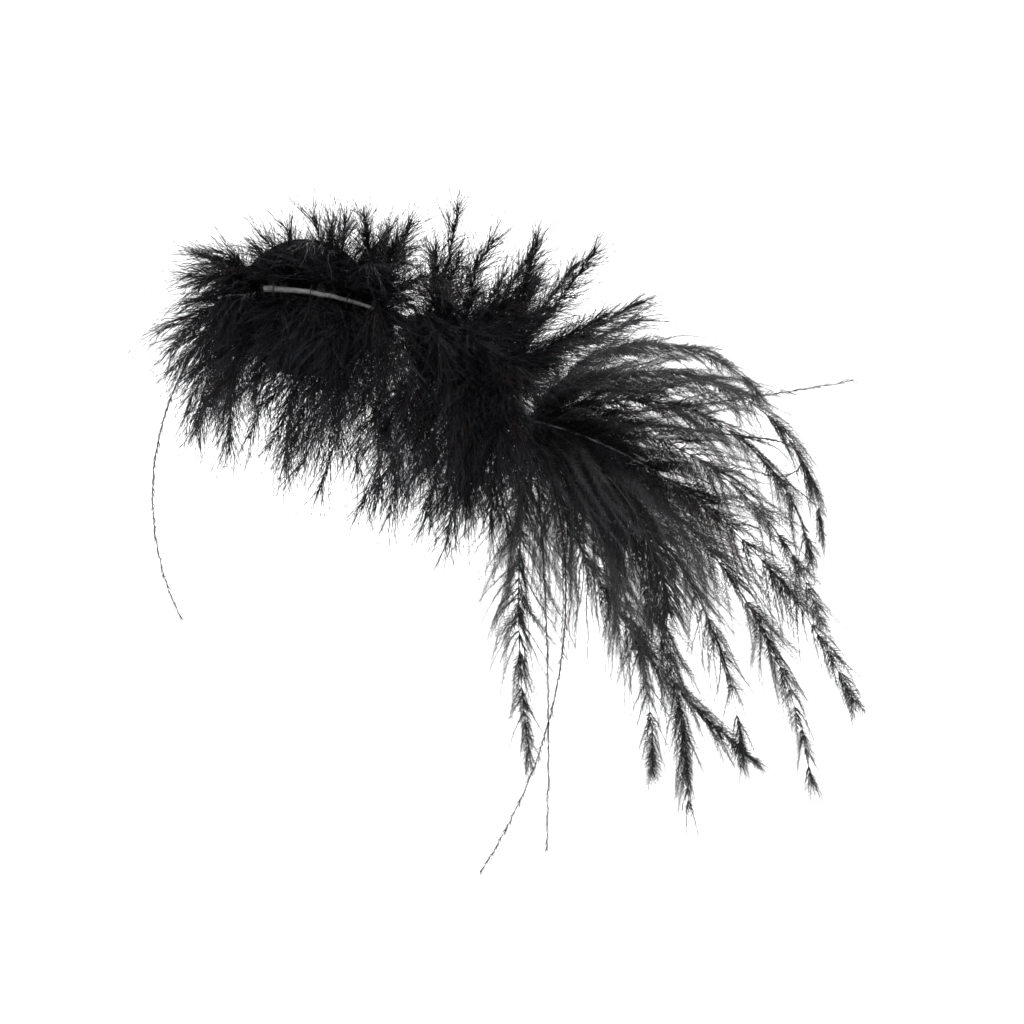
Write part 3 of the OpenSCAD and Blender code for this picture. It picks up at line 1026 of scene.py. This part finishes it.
@dataclass
class FeltBase:
    """Two round layers of felt with a line of stitches round the rim."""

    finishes: dict[str, bpy.types.Material]
    threads: ThreadWork
    fuzz: FuzzTree
    rings: int = 26
    spokes: int = 120
    edge: tuple = ((0.985, 0.9), (0.995, 0.55), (1.0, 0.0), (0.995, -0.55), (0.985, -0.9))
    flat_share: float = 0.97
    waver: float = 0.006
    dimple: float = 0.07
    dimple_scale: float = 160.0
    stitch_lift: float = 0.12 * MM
    stitch_dip: float = 0.45 * MM

    def build(self) -> None:
        """Builds both layers and the stitches."""
        for seed, node in enumerate(("base_back_felt", "base_front_felt")):
            self.layer(node, seed)
        self.stitches()

    def layer(self, node: str, seed: int) -> None:
        """Builds one layer, slightly uneven and rounded at the rim.

        Args:
            node: The layer's node.
            seed: Seed of its unevenness.
        """
        low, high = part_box(node)
        radius = (high[0] - low[0]) / 2
        half = (high[1] - low[1]) / 2
        middle = Vector([(a + b) / 2 for a, b in zip(low, high)])
        flat = [radius * (k + 1) / self.rings * self.flat_share for k in range(self.rings)]
        profile = [(r, 1.0) for r in flat]
        profile += [(radius * share, level) for share, level in self.edge]
        profile += [(r, -1.0) for r in reversed(flat)]
        verts = [middle + BACK * half * self.flat_share]
        for r, level in profile:
            for j in range(self.spokes):
                a = 2.0 * math.pi * j / self.spokes
                ripple = noise.noise(Vector((3 * math.cos(a), 3 * math.sin(a), seed)))
                rim = 1.0 - self.waver * (1.0 + ripple)
                spot = Vector((r * rim * math.cos(a), 0.0, r * rim * math.sin(a)))
                bump = noise.noise(spot * self.dimple_scale + BACK * (seed + level))
                dip = self.dimple * half * (1.0 + bump)
                verts.append(middle + spot + BACK * (level * (half - dip)))
        verts.append(middle - BACK * half * self.flat_share)
        count = self.spokes
        faces: list[tuple[int, ...]] = []
        inner, outer = round_the(1, count), round_the(1 + (len(profile) - 1) * count, count)
        for (a, b), (c, d) in zip(inner, outer):
            faces += [(0, a, b), (len(verts) - 1, d, c)]
        for k in range(len(profile) - 1):
            faces += [(a, a + count, b + count, b) for a, b in round_the(1 + k * count, count)]
        disc = mesh_object(node + "_wool", verts, faces, self.finishes["felt"])
        settle(disc, node)
        nap = self.fuzz.grow(node + "_nap", disc.data.copy(), {
            "Seed": seed + 11, "Fibres per square metre": 420000.0, "Fibre length": 1.1 * MM,
            "Fibre radius": 0.03 * MM, "Finish": self.finishes["fuzz"]})
        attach(nap, body_with(node))

    def stitches(self) -> None:
        """Lays a thread along each of the node's stitches, dipping into the felt at its ends."""
        lines = []
        for part in loose_parts("base_stitches"):
            middle = mean(part)
            run = Vector((middle.x, 0.0, middle.z)).normalized().cross(BACK)
            reach = max((p - middle).dot(run) for p in part)
            lines.append([middle + run * (reach * 0.96 * u)
                          + BACK * (self.stitch_dip * u ** 6 - self.stitch_lift)
                          for u in (-1.0, -0.85, -0.5, 0.0, 0.5, 0.85, 1.0)])
        self.threads.settled("base_stitches", lines, thickness("base_stitches") / 2)


@dataclass
class Core:
    """The wired cord, the threads wound on it and the bare quill that lies in front of it."""

    arch: Arch
    finishes: dict[str, bpy.types.Material]
    threads: ThreadWork
    flex_half: float = 10 * MM
    line_step: float = 1.6 * MM
    quill_steps: int = 80

    def build(self) -> None:
        """Builds the cord, the wire, the windings, the couching and the bare quill."""
        cord = self.threads.lay("core_cord_plies", [self.line(0.3 * MM)],
                                self.arch.cord_radius * 0.985, plies=5, twist=15 * MM,
                                step=1.2 * MM, sides=10, finish=self.finishes["cord"])
        self.flexed(cord, "core_cord")
        line = self.line(0.5 * MM)
        radii = [thickness("core_wire") / 2] * len(line)
        radii[0] = radii[-1] = radii[0] * 0.7
        self.flexed(tube_object("core_wire_drawn", line, radii, 12, self.finishes["wire"]),
                    "core_wire")
        for node in ("end_whipping", "binding_thread_fixed", "binding_thread_free"):
            self.winding(node)
        self.couching()
        self.bare_quill()

    def line(self, inset: float) -> list[Vector]:
        """Returns points along the whole arch but for a little at each end."""
        run = self.arch.length - inset - inset
        count = max(2, round(run / self.line_step))
        return [self.arch.at(inset + run * k / count) for k in range(count + 1)]

    def flexed(self, piece: bpy.types.Object, node: str) -> None:
        """Puts a piece in its node's place, bending across the joint of the two halves."""
        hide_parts(node)
        hinge = next(j for j in frame["joints"] if j["name"] == "core_bend")
        bend = self.arch.place_of(Vector(hinge["pos_m"]))[0]
        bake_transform(piece, "base_half", "free_half", tuple(self.arch.at(bend - self.flex_half)),
                 tuple(self.arch.at(bend + self.flex_half)))

    def winding(self, node: str) -> None:
        """Winds one continuous thread over each group of a node's turns."""
        turns = []
        for part in loose_parts(node):
            along, out, front = self.arch.places(part)
            turns.append((mean(along), *span([math.hypot(*q) for q in zip(out, front)])))
        turns.sort()
        groups = [[turns[0]]]
        for turn in turns[1:]:
            if turn[0] - groups[-1][-1][0] < 6.0 * turn[2]:
                groups[-1].append(turn)
            else:
                groups.append([turn])
        self.threads.settled(node, [self.helix(group) for group in groups], turns[0][2], "_wound",
                             step=0.9 * MM, sides=3)

    def helix(self, group: list[tuple], steps: int = 26) -> list[Vector]:
        """Returns one winding line over a group of turns."""
        first, last, ring = group[0][0], group[-1][0], group[0][1]
        count = len(group)
        line = []
        for k in range(count * steps + 1):
            t = k / (count * steps)
            a = 2.0 * math.pi * count * t
            line.append(self.arch.at(first + (last - first) * t, ring * math.cos(a),
                                     ring * math.sin(a)))
        return line

    def couching(self) -> None:
        """Lays the stitches that go over the cord and the quill and into the felt."""
        lines = []
        for part in loose_parts("couching_stitches"):
            along, outs, fronts = self.arch.places(part)
            s, radius = mean(along), span(along)[1]
            half = max(abs(out) for out in outs) - radius
            front, back = max(fronts) - radius, min(fronts)
            leg = [(half, back + (front - half - back) * k / 8) for k in range(8)]
            bend = [(half * math.cos(math.pi * k / 16),
                     front - half + half * math.sin(math.pi * k / 16)) for k in range(17)]
            other = [(-half, front - half - (front - half - back) * k / 8) for k in range(1, 9)]
            lines.append([self.arch.at(s, *place) for place in leg + bend + other])
        self.threads.settled("couching_stitches", lines, radius)

    def bare_quill(self) -> None:
        """Builds the stripped quill, thick and cut square at one end and thin at the other."""
        along, _, fronts = self.arch.places(node_points("stripped_quill"))
        first, last = min(along), max(along)
        front, radius = span(fronts)
        line, radii = [], []
        for k in range(self.quill_steps + 1):
            t = k / self.quill_steps
            wander = 0.5 * MM * noise.noise(Vector((9.0 * t, 0.0, 3.0)))
            line.append(self.arch.at(first + (last - first) * t, wander, front))
            lump = 1.0 + 0.05 * noise.noise(Vector((30.0 * t, 5.0, 0.0)))
            radii.append(radius * lump * (0.8 if k == 0 else 1.0) * (1.22 - 0.55 * t))
        settle(tube_object("stripped_quill_horn", line, radii, 20, self.finishes["quill"]),
               "stripped_quill")


@dataclass
class PlumeMount:
    """The buckram strip at the core's free end, the butts on it and the threads on both."""

    arch: Arch
    finishes: dict[str, bpy.types.Material]
    threads: ThreadWork
    weave_pitch: float = 1.3 * MM
    yarn_share: float = 0.52
    corner: float = 0.9 * MM
    origin: Vector = field(init=False)
    ahead: Vector = field(init=False)
    outward: Vector = field(init=False)

    def __post_init__(self) -> None:
        """Sets the strip's own straight frame at its middle."""
        along = self.arch.places(node_points("plume_strip"))[0]
        middle = (min(along) + max(along)) / 2
        self.origin = self.arch.at(middle)
        self.ahead, self.outward = self.arch.ahead(middle), self.arch.out(middle)

    def build(self) -> None:
        """Builds the strip, the butts and their threads."""
        self.strip()
        self.butts()
        self.lashing()
        self.seizing()

    def local(self, spots: list[Vector]) -> list[tuple[float, ...]]:
        """Returns the distances along the strip's frame, then out of it, then in front."""
        offsets = [p - self.origin for p in spots]
        return list(zip(*((d.dot(self.ahead), d.dot(self.outward), -d.y) for d in offsets)))

    def at(self, along: float, out: float, front: float) -> Vector:
        """Returns the point of the strip's straight frame."""
        return self.origin + self.ahead * along + self.outward * out - BACK * front

    def reach(self, node: str) -> list[tuple[float, float]]:
        """Returns a node's least and most distance on each axis of the strip's frame."""
        return [(min(row), max(row)) for row in self.local(node_points(node))]

    def strip(self) -> None:
        """Weaves the strip from stiff threads that go over and under each other."""
        long, (o0, o1), deep = self.reach("plume_strip")
        thick = (o1 - o0) / 2
        yarn = thick * self.yarn_share
        mid = (o0 + o1) / 2
        lines = []
        for warp, ends, other in ((True, long, deep), (False, deep, long)):
            width = ends[1] - ends[0] - 2 * yarn
            count = round(width / self.weave_pitch)
            cross = round((other[1] - other[0] - 2 * yarn) / self.weave_pitch)
            for i in range(count + 1):
                u = ends[0] + yarn + width * i / count
                line = []
                for k in range(cross * 4 + 1):
                    v = other[0] + (other[1] - other[0]) * k / (cross * 4)
                    phase = math.pi * (k / 4 + i)
                    lift = mid + (thick - yarn) * math.cos(phase) * (1 if warp else -1)
                    line.append(self.at(u, lift, v) if warp else self.at(v, lift, u))
                lines.append(line)
        settle(self.threads.lay("plume_strip_weave", lines, yarn, plies=1, sides=4,
                                finish=self.finishes["buckram"]), "plume_strip")

    def butts(self) -> None:
        """Lays the bound quill ends side by side."""
        lines, radius = [], 0.0
        for part in loose_parts("plume_butts"):
            along, out, front = self.local(part)
            (middle, _), (centre, radius) = span(out), span(front)
            lines.append([self.at(min(along) + (max(along) - min(along)) * k / 8, middle, centre)
                          for k in range(9)])
        settle(self.threads.lay("plume_butts_horn", lines, radius, plies=1, step=1.0 * MM,
                                sides=12, finish=self.finishes["quill"]),
               "plume_butts")

    def lashing(self) -> None:
        """Lays the stitches that hold the strip on the cord."""
        lines = []
        for part in loose_parts("plume_lashing"):
            along, out, front = self.local(part)
            s, radius, top = mean(along), span(along)[1], max(out)
            half = max(abs(q) for q in front) - radius
            bend = [(-half * math.sin(math.pi * k / 20), half * math.cos(math.pi * k / 20))
                    for k in range(21)]
            lines.append([self.at(s, *place) for place in [(top, half)] + bend + [(top, -half)]])
        self.threads.settled("plume_lashing", lines, radius)

    def seizing(self) -> None:
        """Winds one thread round the strip and the butts."""
        parts = [self.local(part)[0] for part in loose_parts("plume_seizing")]
        places = sorted(mean(along) for along in parts)
        radius = span(parts[0])[1]
        (o0, o1), (f0, f1) = ((low + radius + self.corner, high - radius - self.corner)
                              for low, high in self.reach("plume_seizing")[1:])
        loop = []
        for quarter, (out, front) in enumerate(((o1, f1), (o0, f1), (o0, f0), (o1, f0))):
            for k in range(6):
                a = math.radians(90.0 * quarter + 90.0 * k / 5)
                loop.append((out + self.corner * math.cos(a), front + self.corner * math.sin(a)))
        line = []
        for turn in range(len(places)):
            for k, place in enumerate(loop):
                t = (turn + k / len(loop)) / len(places)
                line.append(self.at(places[0] + (places[-1] - places[0]) * t, *place))
        self.threads.settled("plume_seizing", [line], radius, step=0.6 * MM, sides=5)


# ---------------------------------------------------------------- plumes

@dataclass(frozen=True)
class Growth:
    """How barbs grow on a shaft, and barbules on the barbs. Each field names a tree input."""

    barb_spacing: float
    barb_radius: float
    barb_steps: int
    barb_length_spread: float
    roundness: float
    droop: float
    sweep: float
    waviness: float
    clump_size: float
    barbule_spacing: float
    barbule_length: float
    barbule_radius: float
    barbule_slant: float

    def values(self, number: int, shaft: bpy.types.Material,
               barb: bpy.types.Material) -> dict[str, object]:
        """Returns the feather tree's values for a plume of that number, by input name."""
        own = {key.replace("_", " ").capitalize(): value for key, value in asdict(self).items()}
        return {**own, "Seed": number + 1, "Shaft finish": shaft, "Barb finish": barb}


def down_growth(spacing: float) -> Growth:
    """Returns the growth of marabou, with its barbs that far apart."""
    return Growth(spacing, 0.25 * MM, 5, 0.45, roundness=0.9, droop=0.24, sweep=0.4,
                  waviness=0.27, clump_size=16 * MM, barbule_spacing=7.0 * MM,
                  barbule_length=8.0 * MM, barbule_radius=0.19 * MM, barbule_slant=0.34)


@dataclass
class Marabou:
    """The thirty downy plumes round the core."""

    feather: FeatherTree
    finishes: dict[str, bpy.types.Material]
    near: KDTree
    arch: Arch
    shafts: int = 7
    shaft_steps: int = 16
    shaft_radius: float = 0.22 * MM
    barb_length: float = 31 * MM
    barb_spacing: float = 2.1 * MM
    rising_spacing: float = 0.5
    hanging_spacing: float = 0.98
    full_length: float = 76 * MM
    tip_reach: float = 14 * MM
    fan_angle: float = 0.7
    short_length: float = 90 * MM
    level: float = -0.1
    parting_half: float = 4.0 * MM
    parting_inset: float = 0.02

    def reach(self, t: float) -> float:
        """Returns the barbs' length at a share of the shaft."""
        return self.barb_length * min(1.0, 0.75 + t / 0.3) * (1.0 - 0.4 * t)

    @staticmethod
    def slant(t: float) -> float:
        """Returns the barbs' angle off the shaft at a share of the shaft."""
        return 1.0 - 0.52 * t

    def parting(self) -> dict[str, object]:
        """Returns the tree's values that keep the down off the front of the bare quill."""
        along, _, front = self.arch.places(node_points("stripped_quill"))
        start, end = (self.arch.start - s / self.arch.radius for s in (min(along), max(along)))
        return {"Parting centre": self.arch.centre, "Parting radius": self.arch.radius,
                "Parting half width": self.parting_half, "Parting depth": -min(front),
                "Parting start": start + self.parting_inset, "Parting end": end}

    def build(self) -> None:
        """Builds every marabou plume on its node's line."""
        parting = self.parting()
        names = sorted(n for n in frame["nodes"] if n.startswith("marabou_plume"))
        for number, node in enumerate(names):
            self.plume(node, number, parting)

    def plume(self, node: str, number: int, parting: dict[str, object]) -> None:
        """Builds one plume.

        Args:
            node: The node that it stands for.
            number: Its seed.
            parting: The tree's values for the parting.
        """
        pick = random.Random(100 + number)
        spine = Spine.of(node, self.near)
        lines = ShaftLines(self.shaft_steps)
        ahead = (spine.points[-1] - spine.points[2]).normalized()
        length = spine.length()
        rising = ahead.z > self.level
        full = min(1.0, length / self.full_length) if rising else 1.0 - self.tip_reach / length
        spread = self.fan_angle * (1.0 + 1.1 * max(0.0, 1.0 - length / self.short_length))
        for k in range(self.shafts):
            roll = 2.0 * math.pi * (k + pick.random()) / self.shafts
            axis = Matrix.Rotation(roll, 3, ahead) @ spine.sides[-1]
            angle = spread * (0.35 + 0.65 * pick.random()) if k else 0.06
            limb = spine.fanned(axis, angle, full * (1.0 - 0.42 * pick.random()))
            lines.add(limb, self.shaft_radius, self.reach, self.slant, pick.random())
        share = self.rising_spacing if rising else self.hanging_spacing
        values = down_growth(self.barb_spacing * share).values(
            number, self.finishes["shaft"], self.finishes["down"])
        piece = self.feather.grow(node + "_down", lines.mesh(node), {**values, **parting})
        settle(piece, node)


class Strand(Enum):
    """The kinds of strand in the fan, by the ending of their pieces' names."""

    OSTRICH = "_flues"
    WEBBED = "_web"
    HERL = "_flue"


@dataclass
class Fan:
    """The ostrich plumes and loose herls at the free end, and the herl at the fixed end."""

    feather: FeatherTree
    finishes: dict[str, bpy.types.Material]
    near: KDTree
    flue_length: float = 72 * MM
    web_length: float = 36 * MM
    herl_width: float = 4.8 * MM
    plume_share: float = 0.9
    herl_share: float = 0.94
    web_node: str = "ostrich_plume_03"
    curl_node: str = "ostrich_herl_07"
    flues: Growth = Growth(3.0 * MM, 0.2 * MM, 9, 0.45, roundness=0.3, droop=0.3,
                           sweep=0.15, waviness=0.16, clump_size=30 * MM,
                           barbule_spacing=0.75 * MM, barbule_length=7.0 * MM,
                           barbule_radius=0.24 * MM, barbule_slant=0.75)
    web: Growth = Growth(0.46 * MM, 0.28 * MM, 7, 0.12, roundness=0.03, droop=0.08,
                         sweep=0.3, waviness=0.05, clump_size=10 * MM, barbule_spacing=3.0 * MM,
                         barbule_length=1.4 * MM, barbule_radius=0.05 * MM, barbule_slant=0.5)
    herl: Growth = Growth(1.2 * MM, 0.24 * MM, 3, 0.5, roundness=1.0, droop=0.0,
                          sweep=0.2, waviness=0.2, clump_size=6 * MM, barbule_spacing=5.0 * MM,
                          barbule_length=0.3 * MM, barbule_radius=0.04 * MM, barbule_slant=0.6)

    def kind_of(self, node: str) -> Strand:
        """Returns what a node of the fan is."""
        if "herl" in node:
            return Strand.HERL
        return Strand.WEBBED if node == self.web_node else Strand.OSTRICH

    def build(self) -> None:
        """Builds every strand of the fan on its node's line."""
        look = self.finishes
        makers = {Strand.OSTRICH: (self.ostrich_lines, self.flues, look["shaft"], look["flue"]),
                  Strand.WEBBED: (self.web_lines, self.web, look["shaft"], look["web"]),
                  Strand.HERL: (self.herl_lines, self.herl, look["herl"], look["herl"])}
        names = sorted(n for n in frame["nodes"] if n.startswith("ostrich") or n == "tail_herl")
        for number, node in enumerate(names):
            kind = self.kind_of(node)
            lines, growth, shaft, barb = makers[kind]
            piece = self.feather.grow(node + kind.value, lines(node, number).mesh(node),
                                      growth.values(number, shaft, barb))
            settle(piece, node)

    def ostrich_lines(self, node: str, number: int) -> ShaftLines:
        """Returns the shaft of a plume of loose flues, fewer and shorter towards the tip."""
        lines = ShaftLines(28)
        lines.add(Spine.of(node, self.near).shortened(self.plume_share), 0.6 * MM,
                  lambda t: self.flue_length * min(1.0, 0.35 + t / 0.12) * (1.0 - 0.84 * t),
                  lambda t: 0.7 - 0.4 * t, random.Random(300 + number).random(),
                  lambda t: 1.0 - 0.4 * min(1.0, max(0.0, t - 0.25) / 0.3))
        return lines

    def web_lines(self, node: str, number: int) -> ShaftLines:
        """Returns the shaft of the short plume with a close web."""
        lines = ShaftLines(28)
        lines.add(Spine.of(node, self.near), 0.55 * MM,
                  lambda t: self.web_length * math.sin(math.pi * min(1.0, 0.12 + t * 0.84)) ** 0.6,
                  lambda t: 0.85 - 0.4 * t, 0.4)
        return lines

    def herl_lines(self, node: str, number: int) -> ShaftLines:
        """Returns a single flue, with a second that curls where the node has one."""
        spine = Spine.of(node, self.near)
        spine = spine.shortened(self.herl_share if spine.points[-1].y < 0.0 else 1.0)
        lines = ShaftLines(40)
        strands = [(spine, 0.45 * MM)]
        if node == self.curl_node:
            strands.append((self.curled(spine), 0.5 * MM))
        for strand, girth in strands:
            lines.add(strand, girth, lambda t: self.herl_width * min(1.0, 0.2 + t / 0.3),
                      lambda t: 0.6, 0.5)
        return lines

    @staticmethod
    def curled(spine: Spine) -> Spine:
        """Returns a second flue that leaves the first and curls back on itself at its end."""
        stay = round(len(spine.points) * 0.5)
        points = [p - UP * (12 * MM * (k / stay) ** 2)
                  for k, p in enumerate(spine.points[:stay + 1])]
        ahead = (points[-1] - points[-2]).normalized()
        points += [points[-1] + ahead * (10 * MM * k) for k in (1, 2, 3, 4)]
        centre = points[-1] - UP * (9 * MM)
        points += [centre + ahead * (14 * MM * math.sin(a)) + UP * (9 * MM * math.cos(a))
                   for a in (math.pi * k / 8 for k in range(1, 9))]
        points += [points[-1] - ahead * (7 * MM * k) + UP * (1.2 * MM * k) for k in (1, 2, 3, 4)]
        return Spine(points, [spine.sides[0]] * len(points))


# ---------------------------------------------------------------- stage

@dataclass
class Stage:
    """The camera, the lights and the pale sweep behind the object. Its own sizes are in metres."""

    middle: Vector = field(default_factory=lambda: Vector((103.5 * MM, 0.0, -102.0 * MM)))
    view_width: float = 512 * MM
    lens: float = 100.0
    sensor: float = 36.0
    sky: float = 0.4
    sky_seen: float = 0.65
    floor: float = -1.1
    wall: float = 2.6
    bend: float = 0.9
    half_width: float = 6.0
    glow: float = 0.9
    lamps: tuple = (("key", (-0.7, -1.3, 1.1), 22.0, 0.9), ("fill", (1.2, -1.0, 0.2), 8.0, 1.0),
                    ("rim", (0.3, 0.9, 1.1), 12.0, 0.8))

    def build(self) -> None:
        """Makes the camera, lights, world and sweep."""
        bpy.context.scene.view_settings.view_transform = "Standard"
        data = bpy.data.cameras.new("camera")
        data.lens = self.lens
        data.sensor_width = self.sensor
        camera = linked("camera", data)
        camera.location = self.middle - BACK * (self.view_width * self.lens / self.sensor)
        camera.rotation_euler = (math.radians(90.0), 0.0, 0.0)
        bpy.context.scene.camera = camera
        self.sweep()
        self.world()
        for name, place, power, size in self.lamps:
            self.lamp(name, Vector(place), power, size)

    def lamp(self, name: str, place: Vector, power: float, size: float) -> None:
        """Adds a soft lamp that points at the middle of the view."""
        data = bpy.data.lights.new(name, "AREA")
        data.energy = power
        data.size = size
        lamp = linked(name, data)
        lamp.location = self.middle + place
        lamp.rotation_euler = (self.middle - lamp.location).to_track_quat("-Z", "Y").to_euler()

    def world(self) -> None:
        """Makes an even white sky."""
        world = bpy.data.worlds.new("studio")
        world.use_nodes = True
        nodes = Nodes(world.node_tree)
        seen = nodes.out("ShaderNodeLightPath", output="Is Camera Ray")
        background = world.node_tree.nodes["Background"]
        background.inputs["Color"].default_value = (1.0, 1.0, 1.0, 1.0)
        strength = seen * self.sky_seen + self.sky
        world.node_tree.links.new(strength.socket, background.inputs["Strength"])
        bpy.context.scene.world = world

    def sweep(self) -> None:
        """Makes the floor far below the object, curving up into a wall behind it."""
        profile = [(-5.0, self.floor), (self.wall - self.bend, self.floor)]
        for k in range(1, 13):
            a = math.radians(90.0 * k / 12)
            profile.append((self.wall - self.bend + self.bend * math.sin(a),
                            self.floor + self.bend - self.bend * math.cos(a)))
        profile.append((self.wall, 4.0))
        verts = [(x, y, z) for x in (-self.half_width, self.half_width) for y, z in profile]
        n = len(profile)
        mesh = bpy.data.meshes.new("sweep")
        mesh.from_pydata(verts, [], [(k, k + n, k + n + 1, k + 1) for k in range(n - 1)])
        for face in mesh.polygons:
            face.use_smooth = True
        material = bpy.data.materials.new("pale_sweep")
        material.use_nodes = True
        shader = material.node_tree.nodes["Principled BSDF"]
        for name, value in (("Base Color", (0.8, 0.8, 0.8, 1.0)), ("Roughness", 1.0),
                            ("Emission Color", (1.0, 1.0, 1.0, 1.0)),
                            ("Emission Strength", self.glow)):
            shader.inputs[name].default_value = value
        mesh.materials.append(material)
        linked("sweep", mesh)


def main() -> None:
    """Builds the stage and every sub-assembly."""
    logging.basicConfig(level=logging.INFO, format="%(message)s")
    Stage().build()
    finishes = make_finishes()
    feather = FeatherTree()
    near = core_points()
    arch = Arch.read()
    threads = ThreadWork(PlyTree(), finishes["thread"])
    FeltBase(finishes, threads, FuzzTree()).build()
    Core(arch, finishes, threads).build()
    PlumeMount(arch, finishes, threads).build()
    Marabou(feather, finishes, near, arch).build()
    Fan(feather, finishes, near).build()


if __name__ == "__main__":
    main()
